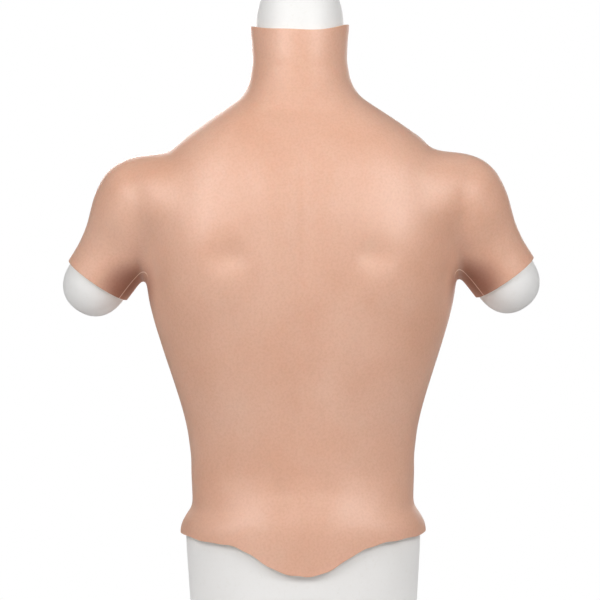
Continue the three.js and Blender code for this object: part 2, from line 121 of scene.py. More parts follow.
def body_distance(x, y, z):
    """Roughly how far outside the smooth body a point lies, in mm."""
    half, front, back = (outline_at(z, column) for column in (1, 2, 3))
    reach = np.where(y > 0, back, front)
    power = TRUNK_SQUARENESS
    ring = (np.abs(x / half) ** power + np.abs(y / reach) ** power) ** (1 / power)
    trunk = (ring - 1) * np.minimum(half, reach)
    slope = np.sqrt(sum(g * g for g in np.gradient(trunk, GRID_STEP)))
    trunk = np.maximum(trunk / np.maximum(slope, 0.3), z - TRUNK_TOP)

    along, off = along_and_off(np.abs(x), y, z, ARM_ROOT, ARM_AXIS)
    ball = np.sqrt(off * off + SHOULDER_FLATNESS * along * along) - ARM_RADII[1][0]
    arm = np.where(along < 0, ball, off - np.interp(along, *ARM_RADII))
    arm = np.maximum(arm, along - CUFF_REACH - ARM_SPARE)
    body = melt(trunk, arm, np.interp(z, *ARM_FILLET))

    along, off = along_and_off(x, y, z, NECK_ROOT, NECK_AXIS)
    neck = np.maximum(off - np.interp(along, *NECK_RADII), -along - NECK_FOOT)
    return melt(body, neck, NECK_FILLET)


def surface_of(values, low, step):
    """The points and four-sided faces of the zero surface of values sampled on a grid."""
    size = np.array(values.shape)
    total = np.zeros((values.size, 3))
    hits = np.zeros(values.size)
    rings = []
    for axis in range(3):
        near = np.delete(values, -1, axis)
        far = np.delete(values, 0, axis)
        edge = np.argwhere((near < 0) != (far < 0))
        u, v = (axis + 1) % 3, (axis + 2) % 3
        within = (edge[:, u] > 0) & (edge[:, v] > 0) & (edge[:, u] < size[u] - 1) & (edge[:, v] < size[v] - 1)
        edge = edge[within]
        a, b = near[tuple(edge.T)], far[tuple(edge.T)]
        point = edge.astype(float)
        point[:, axis] += a / (a - b)
        ring = []
        for du, dv in ((0, 0), (-1, 0), (-1, -1), (0, -1)):
            cell = edge.copy()
            cell[:, u] += du
            cell[:, v] += dv
            ring.append(np.ravel_multi_index(cell.T, values.shape))
            np.add.at(total, ring[-1], point)
            np.add.at(hits, ring[-1], 1)
        ring = np.stack(ring, 1)
        rings.append(np.where((a > 0)[:, None], ring[:, ::-1], ring))
    faces = np.concatenate(rings)
    used, faces = np.unique(faces, return_inverse=True)
    points = low + step * total[used] / hits[used, None]
    return points, faces.reshape(-1, 4)


def mesh_from(name, points, faces):
    mesh = bpy.data.meshes.new(name)
    mesh.from_pydata([tuple(p) for p in points], [], [tuple(f) for f in faces])
    mesh.validate()
    return mesh


BODY_LOW = np.array([-275.0, -126.0, 90.0])
BODY_HIGH = np.array([275.0, 126.0, 722.0])
SMOOTHING_PASSES = 5


def smooth_body():
    """The body's outer surface before its muscles, with the direction that each point faces, in mm."""
    axes = [np.arange(BODY_LOW[k], BODY_HIGH[k], GRID_STEP) for k in range(3)]
    x, y, z = np.meshgrid(*axes, indexing="ij", sparse=True)
    points, faces = surface_of(body_distance(x, y, z), BODY_LOW, GRID_STEP)
    mesh = mesh_from("smooth_body", points, faces)
    shape = bmesh.new()
    shape.from_mesh(mesh)
    for _ in range(SMOOTHING_PASSES):
        bmesh.ops.smooth_vert(shape, verts=shape.verts, factor=0.5,
                              use_axis_x=True, use_axis_y=True, use_axis_z=True)
    shape.to_mesh(mesh)
    shape.free()
    points = np.zeros(len(mesh.vertices) * 3)
    mesh.vertices.foreach_get("co", points)
    facing = np.zeros(len(mesh.vertices) * 3)
    mesh.vertex_normals.foreach_get("vector", facing)
    bpy.data.meshes.remove(mesh)
    return points.reshape(-1, 3), facing.reshape(-1, 3), faces


# Muscles and hollows, the same on both sides of the body: distance from the middle, height, half length,
# half width, tilt of the length above the outward level in degrees, and how far they stand out, in mm.
# The back's fade in from just before the side seam, and the front's fade out over the same stretch.
BACK_START, BACK_BLEND = -18, 44
BACK_RELIEF = [
    (104, 474, 44, 32, 50, 5.0), (150, 520, 30, 19, 68, 3.0), (172, 500, 46, 9, 80, -1.8),
    (158, 432, 26, 9, 78, -4.0),
    (110, 462, 40, 18, -30, 2.5), (76, 450, 12, 9, 20, -2.8), (68, 458, 10, 8, 50, -1.2),
    (82, 424, 30, 22, -40, 4.6), (54, 432, 34, 12, 62, -1.6), (58, 600, 34, 13, -32, 2.6),
    (88, 560, 34, 20, -25, 2.5), (26, 470, 90, 13, 84, 2.0), (32, 300, 90, 15, 90, 2.8),
    (124, 404, 60, 26, 75, 3.0), (94, 240, 44, 24, 90, -3.4), (78, 172, 38, 26, 10, 1.2),
    (26, 204, 9, 8, 0, -1.6), (0, 430, 95, 7, 90, -2.0), (0, 270, 80, 9, 90, -1.4),
    (0, 640, 70, 24, 90, 1.4),
]
FRONT_RELIEF = [
    (64, 466, 42, 29, 8, 10.0), (104, 482, 27, 26, 30, 4.0), (70, 428, 44, 8, 6, -3.2),
    (0, 476, 46, 7, 90, -4.0), (84, 572, 60, 6, 9, 3.6), (46, 592, 20, 9, 10, -2.6),
    (0, 596, 10, 9, 0, -4.5), (27, 392, 16, 15, 0, 4.4), (27, 347, 16, 15, 0, 4.6),
    (26, 302, 16, 15, 0, 4.2), (23, 240, 30, 14, 90, 2.6), (0, 330, 90, 5, 90, -3.2),
    (53, 330, 80, 6, 86, -2.6), (100, 285, 44, 24, 80, 2.4), (76, 206, 44, 7, 34, -2.6),
    (0, 262, 7, 6, 90, -5.0), (74, 446, 4.5, 4.5, 0, 2.6), (136, 498, 38, 7, 62, -2.6),
    (130, 424, 20, 6, -32, 2.6), (124, 400, 20, 6, -32, 2.6), (117, 376, 19, 6, -32, 2.4),
]


def relief(points):
    """How far the muscles stand out of the smooth body at each point, in mm."""
    x, y, z = np.abs(points[:, 0]), points[:, 1], points[:, 2]
    behind = np.clip((y - BACK_START) / BACK_BLEND, 0, 1)
    behind = behind * behind * (3 - 2 * behind)
    height = np.zeros(len(points))
    for rows, share in ((BACK_RELIEF, behind), (FRONT_RELIEF, 1 - behind)):
        for across, up, half_length, half_width, tilt, out in rows:
            c, s = math.cos(math.radians(tilt)), math.sin(math.radians(tilt))
            long = ((x - across) * c + (z - up) * s) / half_length
            wide = ((z - up) * c - (x - across) * s) / half_width
            height += share * out * np.exp(-0.5 * (long * long + wide * wide))
    return height


def hem_height(x):
    """The hem's height at each distance from the middle: a dip, a rise at the sides and a hand-cut waver."""
    beside = np.minimum(np.abs(x) / HEM_DIP_REACH, 1)
    beyond = np.maximum(np.abs(x) - HEM_DIP_REACH, 0) / HEM_SIDE_REACH
    waver = 0.7 * np.sin(x * 0.11 + 1.0) + 0.4 * np.sin(x * 0.27)
    return HEM_LOW + HEM_RISE / 2 * (1 - np.cos(np.pi * beside)) + HEM_SIDE_RISE * beyond ** 2 + waver


def collar_height(x, y):
    """The collar's height around the neck, lowest at the nape, in mm."""
    dip = COLLAR_BACK_DIP * np.clip(y / COLLAR_RADIUS, 0, 1) ** 1.5
    return COLLAR_HEIGHT - dip + 0.8 * np.sin(x * 0.09 + 0.6)


def cut_across(shape, centre, facing, near):
    """Cuts the limb through centre off straight, leaving everything further away than near."""
    def is_near(face):
        return (face.calc_center_median() - centre).length < near

    faces = [f for f in shape.faces if is_near(f)]
    parts = list({e for f in faces for e in f.edges}) + list({v for f in faces for v in f.verts})
    bmesh.ops.bisect_plane(shape, geom=faces + parts, plane_co=centre, plane_no=facing)
    beyond = [f for f in shape.faces if is_near(f) and (f.calc_center_median() - centre).dot(facing) > 0]
    bmesh.ops.delete(shape, geom=beyond, context="FACES")


def cut_plane(shape, place, facing):
    """Cuts the whole shape along a plane and drops the part on the side that the plane faces."""
    bmesh.ops.bisect_plane(shape, geom=shape.verts[:] + shape.edges[:] + shape.faces[:],
                           plane_co=place, plane_no=facing, clear_outer=True)


def cut_level(shape, height_at, keep_above):
    """Cuts along a wavy level line, by sliding the points so that the line is flat, and back."""
    for v in shape.verts:
        v.co.z -= height_at(v.co.x, v.co.y)
    cut_plane(shape, (0, 0, 0), (0, 0, -1 if keep_above else 1))
    for v in shape.verts:
        v.co.z += height_at(v.co.x, v.co.y)


def piece(name, mesh, body, slot, *materials):
    """A shown piece with its finish, that moves with a body."""
    made = bpy.data.objects.new(name, mesh)
    bpy.context.scene.collection.objects.link(made)
    for material in materials:
        mesh.materials.append(material)
    mesh.shade_smooth()
    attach(made, body)
    return made


def add_wall(made, thickness):
    """Thickens a surface inward to a wall, in mm."""
    wall = made.modifiers.new("wall", "SOLIDIFY")
    wall.thickness = thickness * MM
    wall.offset = -1
    return wall


def arm_axis(side):
    return np.array([side * ARM_AXIS[0], ARM_AXIS[1], ARM_AXIS[2]])


def arm_root(side):
    return np.array([side * ARM_ROOT[0], ARM_ROOT[1], ARM_ROOT[2]])


def skin_mesh(points, faces):
    shape = bmesh.new()
    mesh = mesh_from("skin", points, faces)
    shape.from_mesh(mesh)
    for side in (1, -1):
        cuff = arm_root(side) + CUFF_REACH * arm_axis(side)
        cut_across(shape, Vector(cuff), Vector(arm_axis(side)), ARM_CUT_REACH)
    cut_level(shape, lambda x, y: hem_height(x), True)
    cut_level(shape, collar_height, False)
    bmesh.ops.scale(shape, vec=(MM, MM, MM), verts=shape.verts)
    shape.to_mesh(mesh)
    shape.free()
    return mesh


def new_material(name, **sockets):
    """A material with its main shader's plain values set, and its nodes, links and shader."""
    material = bpy.data.materials.new(name)
    material.use_nodes = True
    tree = material.node_tree
    shader = tree.nodes["Principled BSDF"]
    for socket, value in sockets.items():
        shader.inputs[socket.replace("_", " ")].default_value = value
    return material, tree.nodes, tree.links, shader


def noise(nodes, links, scale, detail=4.0, distortion=0.0):
    """A cloudy pattern fixed to the piece, with its size in cycles per metre."""
    place = nodes.new("ShaderNodeTexCoord")
    texture = nodes.new("ShaderNodeTexNoise")
    texture.inputs["Scale"].default_value = scale
    texture.inputs["Detail"].default_value = detail
    texture.inputs["Distortion"].default_value = distortion
    links.new(place.outputs["Object"], texture.inputs["Vector"])
    return texture


def ramp(nodes, links, source, stops):
    """Colours for a pattern's values, from (value, colour) stops."""
    made = nodes.new("ShaderNodeValToRGB")
    elements = made.color_ramp.elements
    elements[0].position, elements[1].position = stops[0][0], stops[-1][0]
    for at, _ in stops[1:-1]:
        elements.new(at)
    for element, (_, colour) in zip(elements, stops):
        element.color = (*colour, 1)
    links.new(source, made.inputs["Fac"])
    return made.outputs["Color"]


def mix(nodes, links, share, first, second, kind="MIX"):
    """Mixes two colours. share, first and second are each an output or a plain value."""
    made = nodes.new("ShaderNodeMix")
    made.data_type, made.blend_type = "RGBA", kind
    ends = (made.inputs[0], made.inputs[6], made.inputs[7])
    for socket, value in zip(ends, (share, first, second)):
        if isinstance(value, bpy.types.NodeSocket):
            links.new(value, socket)
        else:
            socket.default_value = value if isinstance(value, float) else (*value, 1)
    return made.outputs[2]


def bump(nodes, links, shader, layers):
    """Fine relief on the surface: (pattern output, strength, depth in metres) from the first to the last."""
    below = None
    for height, strength, depth in layers:
        made = nodes.new("ShaderNodeBump")
        made.inputs["Strength"].default_value = strength
        made.inputs["Distance"].default_value = depth
        links.new(height, made.inputs["Height"])
        if below:
            links.new(below, made.inputs["Normal"])
        below = made.outputs["Normal"]
    links.new(below, shader.inputs["Normal"])


def figure(nodes, links, operation, *sources):
    """One step of arithmetic on values that vary over the surface."""
    made = nodes.new("ShaderNodeMath")
    made.operation = operation
    for source, socket in zip(sources, made.inputs):
        links.new(source, socket)
    return made.outputs["Value"]


def both_sides(nodes, links, root):
    """Where a point lies from root, measured the same way on the left and the right, in metres."""
    place = nodes.new("ShaderNodeTexCoord")
    parts = nodes.new("ShaderNodeSeparateXYZ")
    links.new(place.outputs["Object"], parts.inputs["Vector"])
    joined = nodes.new("ShaderNodeCombineXYZ")
    links.new(figure(nodes, links, "ABSOLUTE", parts.outputs["X"]), joined.inputs["X"])
    links.new(parts.outputs["Y"], joined.inputs["Y"])
    links.new(parts.outputs["Z"], joined.inputs["Z"])
    offset = nodes.new("ShaderNodeVectorMath")
    offset.operation = "SUBTRACT"
    offset.inputs[1].default_value = root
    links.new(joined.outputs["Vector"], offset.inputs[0])
    return offset.outputs["Vector"]


def eased_range(nodes, links, source, start, end):
    """0 at start and 1 at end, with a soft change between."""
    made = nodes.new("ShaderNodeMapRange")
    made.interpolation_type = "SMOOTHSTEP"
    made.inputs["From Min"].default_value, made.inputs["From Max"].default_value = start, end
    links.new(source, made.inputs["Value"])
    return made.outputs["Result"]


# Where the painted armpit shade lies, and how far it reaches.
ARMPIT = (0.186, 0.024, 0.418)
ARMPIT_REACH, ARMPIT_CORE = 0.042, 0.01


def painted_armpit_shade(nodes, links):
    """Painted shade in the armpits, standing for the shadow there: 1 at its middle and 0 outside."""
    offset = both_sides(nodes, links, ARMPIT)
    length = nodes.new("ShaderNodeVectorMath")
    length.operation = "LENGTH"
    links.new(offset, length.inputs[0])
    return eased_range(nodes, links, length.outputs["Value"], ARMPIT_REACH, ARMPIT_CORE)


# Where the painted highlight along each sleeve's parting line lies.
PARTING_TURN = 35  # degrees from the arm's inner side towards the back
PARTING_HALF_WIDTH, PARTING_CORE = 0.0008, 0.0003
PARTING_OUT = (0.01, 0.02), (0.055, 0.046)  # where the line fades in and out, off the arm's axis
PARTING_ALONG = (0.04, 0.06)  # where it fades in along the arm


def parting_line_highlight(nodes, links):
    """A painted highlight along the mould's parting line under each sleeve: 1 on a line about a millimetre
    wide, and 0 elsewhere.
    """
    offset = both_sides(nodes, links, ARM_ROOT * MM)
    inward = np.cross((0, 1, 0), ARM_AXIS)
    inward /= np.linalg.norm(inward)
    turn = math.radians(PARTING_TURN)
    middle = math.cos(turn) * inward + math.sin(turn) * np.array([0, 1.0, 0])
    limits = [(np.cross(ARM_AXIS, middle), (PARTING_HALF_WIDTH, PARTING_CORE))]
    limits += [(middle, fade) for fade in PARTING_OUT] + [(ARM_AXIS, PARTING_ALONG)]
    line = None
    for direction, (start, end) in limits:
        along = nodes.new("ShaderNodeVectorMath")
        along.operation = "DOT_PRODUCT"
        along.inputs[1].default_value = direction
        links.new(offset, along.inputs[0])
        value = along.outputs["Value"]
        if start > end:
            value = figure(nodes, links, "ABSOLUTE", value)
        share = eased_range(nodes, links, value, start, end)
        line = figure(nodes, links, "MULTIPLY", line, share) if line else share
    return line


def silicone():
    """Flesh-coloured silicone: cloudy pigment, painted shade in the armpits, a painted highlight along each
    sleeve's parting line, a soft matt surface and light that bleeds through it.
    """
    material, nodes, links, shader = new_material(
        "silicone", Roughness=0.48, Subsurface_Weight=0.2, Subsurface_Scale=0.005,
        Subsurface_Radius=(1.0, 0.42, 0.25), Specular_IOR_Level=0.6, Sheen_Weight=0.06, Sheen_Roughness=0.5)
    clouds = noise(nodes, links, 11, 5, 0.3).outputs["Fac"]
    pigment = ramp(nodes, links, clouds, [
        (0.3, (0.715, 0.40, 0.275)), (0.5, (0.745, 0.435, 0.31)), (0.72, (0.775, 0.475, 0.35))])
    speckle = noise(nodes, links, 420, 3).outputs["Fac"]
    speckled = ramp(nodes, links, speckle, [(0.32, (0.94, 0.91, 0.9)), (0.6, (1, 1, 1))])
    colour = mix(nodes, links, 1.0, pigment, speckled, "MULTIPLY")
    # Painted shade: the armpits are darkened in the colour, standing for the shadow that falls in them.
    armpit_shadow_colour = mix(nodes, links, 1.0, colour, (0.5, 0.37, 0.33), "MULTIPLY")
    colour = mix(nodes, links, painted_armpit_shade(nodes, links), colour, armpit_shadow_colour)
    # Painted highlight: a paler line along the parting line under each sleeve, where the seam catches the
    # light.
    colour = mix(nodes, links, parting_line_highlight(nodes, links), colour, (0.85, 0.62, 0.48))
    links.new(colour, shader.inputs["Base Color"])
    bump(nodes, links, shader, [
        (noise(nodes, links, 60, 3).outputs["Fac"], 0.25, 0.0012),
        (noise(nodes, links, 900, 2).outputs["Fac"], 0.3, 0.0001)])
    return material


def painted_rim_highlight():
    """The paler cut edge of the silicone: a painted highlight where the trimmed edge catches the light."""
    material, nodes, links, shader = new_material(
        "rim_highlight_silicone", Roughness=0.55, Subsurface_Weight=0.3, Subsurface_Scale=0.005,
        Subsurface_Radius=(1.0, 0.5, 0.3))
    clouds = noise(nodes, links, 90, 3).outputs["Fac"]
    links.new(ramp(nodes, links, clouds, [(0.35, (0.90, 0.69, 0.53)), (0.65, (0.95, 0.76, 0.61))]),
              shader.inputs["Base Color"])
    bump(nodes, links, shader, [(noise(nodes, links, 600, 2).outputs["Fac"], 0.3, 0.0002)])
    return material


body_points, body_facing, body_faces = smooth_body()
muscles = relief(body_points)
skin = piece("muscle_skin", skin_mesh(body_points + body_facing * muscles[:, None], body_faces),
             "torso", "skin_rubber", silicone(), painted_rim_highlight())
# The wall's cut edge and its soft bevel take the paler material: a painted highlight where the trimmed edge
# catches the light.
add_wall(skin, SKIN_THICKNESS).material_offset_rim = 1
rim = skin.modifiers.new("soft_rim", "BEVEL")
rim.width = RIM_WIDTH * MM
rim.segments = 2
rim.material = 1
rim.limit_method = "ANGLE"
rim.angle_limit = math.radians(RIM_ANGLE)
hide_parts("skin")

# ---------------------------------------------------------------- Torso form
# The hollow white upper form under the skin, moulded in a front and a back half with a 3.5 mm wall. It is
# open at the waist and at the ends of its neck and arm stubs, and follows the skin's muscles a few mm deeper.

FORM_INSET = 4.5
FORM_WALL = 3.5
JOINT_GAP = 0.3
WAIST_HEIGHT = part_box("waist_board")[0].z / MM

NECK_SPLIT = 24.0  # from the neck's root to the joint between stub and cap
NECK_END, NECK_DOME = 63.0, 60.0  # to the collar, and the cap's dome beyond it
NECK_CAP_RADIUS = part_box("neck_cap")[1].x / MM
ARM_SPLIT = 78.0
ARM_DOME = 40.0
ARM_CAP_RADIUS = 35.0
NECK_DRAWN, ARM_DRAWN = (2, 10), (44, 62)  # where a stub starts and ends its change to its cap's radius
STUB_REACH, STUB_BLEND = 14, 7  # no point further than this outside that radius belongs to the stub
NECK_STUB_CUT, ARM_STUB_CUT = 84, 60  # nothing but the stub lies this near to its end's middle


def drawn_to(points, root, axis, start, end, radius):
    """Brings a stub's wall to one radius between two distances along its axis."""
    along, off = along_and_off(*points.T, root, axis)
    share = np.clip((along - start) / (end - start), 0, 1)
    share = share * share * (3 - 2 * share) * np.clip((radius + STUB_REACH - off) / STUB_BLEND, 0, 1)
    middle = root + along[:, None] * axis
    scale = 1 + share * (radius / np.maximum(off, 1) - 1)
    return middle + (points - middle) * scale[:, None]


def form_half(name, side):
    """The form's front half, where side is -1, or its back half."""
    points = body_points + body_facing * (muscles - FORM_INSET)[:, None]
    points = drawn_to(points, NECK_ROOT, NECK_AXIS, *NECK_DRAWN, NECK_CAP_RADIUS)
    for arm in (1, -1):
        points = drawn_to(points, arm_root(arm), arm_axis(arm), *ARM_DRAWN, ARM_CAP_RADIUS)
    shape = bmesh.new()
    mesh = mesh_from(name, points, body_faces)
    shape.from_mesh(mesh)
    for arm in (1, -1):
        end = Vector(arm_root(arm) + ARM_SPLIT * arm_axis(arm))
        cut_across(shape, end, Vector(arm_axis(arm)), ARM_STUB_CUT)
    cut_across(shape, Vector(NECK_ROOT + NECK_SPLIT * NECK_AXIS), Vector(NECK_AXIS), NECK_STUB_CUT)
    cut_level(shape, lambda x, y: WAIST_HEIGHT, True)
    cut_plane(shape, (0, side * JOINT_GAP / 2, 0), (0, -side, 0))
    bmesh.ops.scale(shape, vec=(MM, MM, MM), verts=shape.verts)
    shape.to_mesh(mesh)
    shape.free()
    return mesh


def white_plastic():
    """Matt white moulded plastic with a faint orange-peel surface and slight yellowing."""
    material, nodes, links, shader = new_material(
        "white_plastic", Roughness=0.5, Specular_IOR_Level=0.45, Subsurface_Weight=0.3,
        Subsurface_Scale=0.015, Subsurface_Radius=(1, 1, 1), Sheen_Weight=0.3, Sheen_Roughness=0.6)
    clouds = noise(nodes, links, 7, 4).outputs["Fac"]
    tint = ramp(nodes, links, clouds, [(0.3, (0.90, 0.885, 0.865)), (0.7, (0.93, 0.92, 0.905))])
    specks = noise(nodes, links, 260, 2).outputs["Fac"]
    dust = ramp(nodes, links, specks, [(0.25, (0.97, 0.965, 0.955)), (0.42, (1, 1, 1))])
    links.new(mix(nodes, links, 1.0, tint, dust, "MULTIPLY"), shader.inputs["Base Color"])
    bump(nodes, links, shader, [
        (noise(nodes, links, 220, 2).outputs["Fac"], 0.12, 0.0003),
        (noise(nodes, links, 1400, 1).outputs["Fac"], 0.1, 0.00005)])
    return material


WHITE = white_plastic()
for half_name, side in (("front", -1), ("back", 1)):
    form = piece(f"{half_name}_form", form_half(f"{half_name}_form", side), "torso", "white_form", WHITE)
    add_wall(form, FORM_WALL)
    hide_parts(f"torso_{half_name}_shell")

# ---------------------------------------------------------------- Hip block
# The white lower half: a tapering hollow column, open at both ends, with a rounded shoulder under the
# waist joint and a wall of 4 mm. Plywood boards fill both ends.

HIP_WALL = 4.0
# Height, half width, reach to the front, reach to the back.
HIP = np.array([
    (8, 118, 82, 82), (79, 122.6, 86, 86), (150, 127, 89, 88), (165, 125.2, 87.4, 85.6),
    (176, 119.8, 83.5, 79.5), (182, 116.8, 81.6, 75.6), (186, 113.8, 79.8, 71.8),
], float)
HIP_SQUARENESS = 2.3
HIP_SIDES = 128
HIP_SHOULDER = 150  # where the sides end and the rounded shoulder starts
EDGE_ROUNDING = 1.2
HARD_EDGE = math.radians(40)


def oval(row, inset):
    """One level ring of the hip block, drawn in by inset."""
    height, half, front, back = row
    angle = np.linspace(0, 2 * np.pi, HIP_SIDES, endpoint=False)
    c, s = np.cos(angle), np.sin(angle)
    power = 2 / HIP_SQUARENESS
    reach = np.where(s > 0, back, front) - inset
    x = (half - inset) * np.sign(c) * np.abs(c) ** power
    return np.stack([x, reach * np.sign(s) * np.abs(s) ** power, np.full(HIP_SIDES, height)], 1)


def ring_faces(rings, sides, closed):
    """Four-sided faces between rings of points, the last joined to the first where closed."""
    faces = []
    for i in range(rings if closed else rings - 1):
        a, b = i * sides, (i + 1) % rings * sides
        faces += [(a + k, a + (k + 1) % sides, b + (k + 1) % sides, b + k) for k in range(sides)]
    return faces


def facing_out(mesh):
    """Turns a closed mesh's faces outward and keeps its hard edges hard."""
    shape = bmesh.new()
    shape.from_mesh(mesh)
    bmesh.ops.recalc_face_normals(shape, faces=shape.faces)
    shape.to_mesh(mesh)
    shape.free()
    mesh.shade_smooth()
    mesh.set_sharp_from_angle(angle=HARD_EDGE)
    return mesh


def hip_mesh():
    """The hip block's wall: up its outside, over the top edge, down its inside and under the bottom edge."""
    heights = np.concatenate([
        np.linspace(HIP[0, 0], HIP_SHOULDER, 12), np.linspace(HIP_SHOULDER + 4, HIP[-1, 0], 12)])
    rows = np.stack([np.interp(heights, HIP[:, 0], HIP[:, k]) for k in range(4)], 1)
    rows[1:-1, 1:] = (rows[:-2, 1:] + 2 * rows[1:-1, 1:] + rows[2:, 1:]) / 4
    low, high = rows[0].copy(), rows[-1].copy()
    rows[0, 0] += EDGE_ROUNDING
    rows[-1, 0] -= EDGE_ROUNDING
    rings = [oval(row, 0) for row in rows]
    rings += [oval(high, EDGE_ROUNDING), oval(high, HIP_WALL)]
    rings += [oval(row, HIP_WALL) for row in rows[-2:0:-1]]
    rings += [oval(low, HIP_WALL), oval(low, EDGE_ROUNDING)]
    faces = ring_faces(len(rings), HIP_SIDES, True)
    return facing_out(mesh_from("hip_form", np.concatenate(rings) * MM, faces))


hip_form = piece("hip_form", hip_mesh(), "hips", "white_form", WHITE)
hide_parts("hip_shell")


def plywood():
    """Raw plywood: long grain on the faces and thin dark plies along the edges."""
    material, nodes, links, shader = new_material("plywood", Roughness=0.75, Specular_IOR_Level=0.3)
    place = nodes.new("ShaderNodeTexCoord")
    stretch = nodes.new("ShaderNodeMapping")
    stretch.inputs["Scale"].default_value = (6, 90, 4)
    links.new(place.outputs["Object"], stretch.inputs["Vector"])
    grain = nodes.new("ShaderNodeTexNoise")
    grain.inputs["Scale"].default_value = 1.6
    grain.inputs["Detail"].default_value = 6
    grain.inputs["Distortion"].default_value = 0.8
    links.new(stretch.outputs["Vector"], grain.inputs["Vector"])
    wood = ramp(nodes, links, grain.outputs["Fac"], [
        (0.25, (0.42, 0.25, 0.12)), (0.5, (0.60, 0.40, 0.21)), (0.75, (0.70, 0.50, 0.29))])
    plies = nodes.new("ShaderNodeTexWave")
    plies.bands_direction = "Z"
    plies.inputs["Scale"].default_value = 105
    plies.inputs["Distortion"].default_value = 0.4
    links.new(place.outputs["Object"], plies.inputs["Vector"])
    shade = ramp(nodes, links, plies.outputs["Fac"], [(0.35, (0.62, 0.52, 0.44)), (0.6, (1, 1, 1))])
    links.new(mix(nodes, links, 0.8, wood, shade, "MULTIPLY"), shader.inputs["Base Color"])
    bump(nodes, links, shader, [(grain.outputs["Fac"], 0.3, 0.0004)])
    return material


PLYWOOD = plywood()
for board in ("hip_base_board", "hip_top_board", "waist_board"):
    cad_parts[board].data.materials.clear()
    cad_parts[board].data.materials.append(PLYWOOD)

# ---------------------------------------------------------------- Caps, plugs and rings
# The domed white ends of the neck and the arms. Each has a plug bonded inside, with a rubber band in a
# groove, that grips a ring bonded inside the form's stub, so that the cap can be pulled off.

CAP_WALL = 3.5
DOME_SQUARENESS = 2.3
PLUG_INSET, PLUG_WALL, PLUG_LENGTH, PLUG_FLANGE = 9.0, 2.5, 18.0, 3.0
PLUG_FLANGE_RISE = 3
BAND_WIDTH, BAND_DEPTH, BAND_PROUD = 4.0, 1.6, 1.2
RING_LENGTH = 14.0
CAP_EDGE = 0.6  # the bevel on a cap's open edge
CAP_SIDES, DOME_STEPS = 96, 28
NEAR_AXIS = 1e-4  # a point on the axis turns to a ring this small, which is then joined to one point


def turned(name, profile, root=(0, 0, 0), axis=(0, 0, 1), sides=72):
    """A turned piece about an axis, from (radius, distance along) in mm, closed or from axis to axis."""
    axis = np.array(axis, float)
    across = np.cross((0, 1, 0), axis)
    across /= np.linalg.norm(across)
    other = np.cross(axis, across)
    angle = np.linspace(0, 2 * np.pi, sides, endpoint=False)
    spokes = np.cos(angle)[:, None] * across + np.sin(angle)[:, None] * other
    closed = profile[0] == profile[-1]
    rows = profile[:-1] if closed else profile
    rings = [np.array(root, float) + d * axis + max(r, NEAR_AXIS) * spokes for r, d in rows]
    mesh = mesh_from(name, np.concatenate(rings) * MM, ring_faces(len(rings), sides, closed))
    shape = bmesh.new()
    shape.from_mesh(mesh)
    bmesh.ops.remove_doubles(shape, verts=shape.verts, dist=1e-6)
    shape.to_mesh(mesh)
    shape.free()
    return facing_out(mesh)


def eased(corners, radius=0.4):
    """A closed profile with each corner cut back a little, as on a moulded or machined edge."""
    points = [np.array(c, float) for c in corners[:-1]]
    out = []
    for i, here in enumerate(points):
        for there in (points[i - 1], points[(i + 1) % len(points)]):
            way = there - here
            out.append(tuple(here + way * min(radius / np.linalg.norm(way), 0.3)))
    return out + [out[0]]


def dome(radius, start, rise):
    """The outline of a dome, from its edge to its top."""
    power = 2 / DOME_SQUARENESS
    angle = np.linspace(0, np.pi / 2, DOME_STEPS)
    return [(radius * math.cos(a) ** power, start + rise * math.sin(a) ** power) for a in angle]


def black_rubber():
    """Moulded black rubber, slightly dusty."""
    material, nodes, links, shader = new_material("black_rubber", Roughness=0.7, Specular_IOR_Level=0.35)
    clouds = noise(nodes, links, 120, 4).outputs["Fac"]
    links.new(ramp(nodes, links, clouds, [(0.35, (0.014, 0.014, 0.015)), (0.75, (0.045, 0.044, 0.043))]),
              shader.inputs["Base Color"])
    bump(nodes, links, shader, [(noise(nodes, links, 900, 2).outputs["Fac"], 0.35, 0.0002)])
    return material


BLACK_RUBBER = black_rubber()
limbs = [("neck", NECK_ROOT, NECK_AXIS, NECK_SPLIT, NECK_END, NECK_DOME, NECK_CAP_RADIUS)]
for limb, side in (("left_arm", 1), ("right_arm", -1)):
    limbs.append((limb, arm_root(side), arm_axis(side), ARM_SPLIT, CUFF_REACH, ARM_DOME, ARM_CAP_RADIUS))

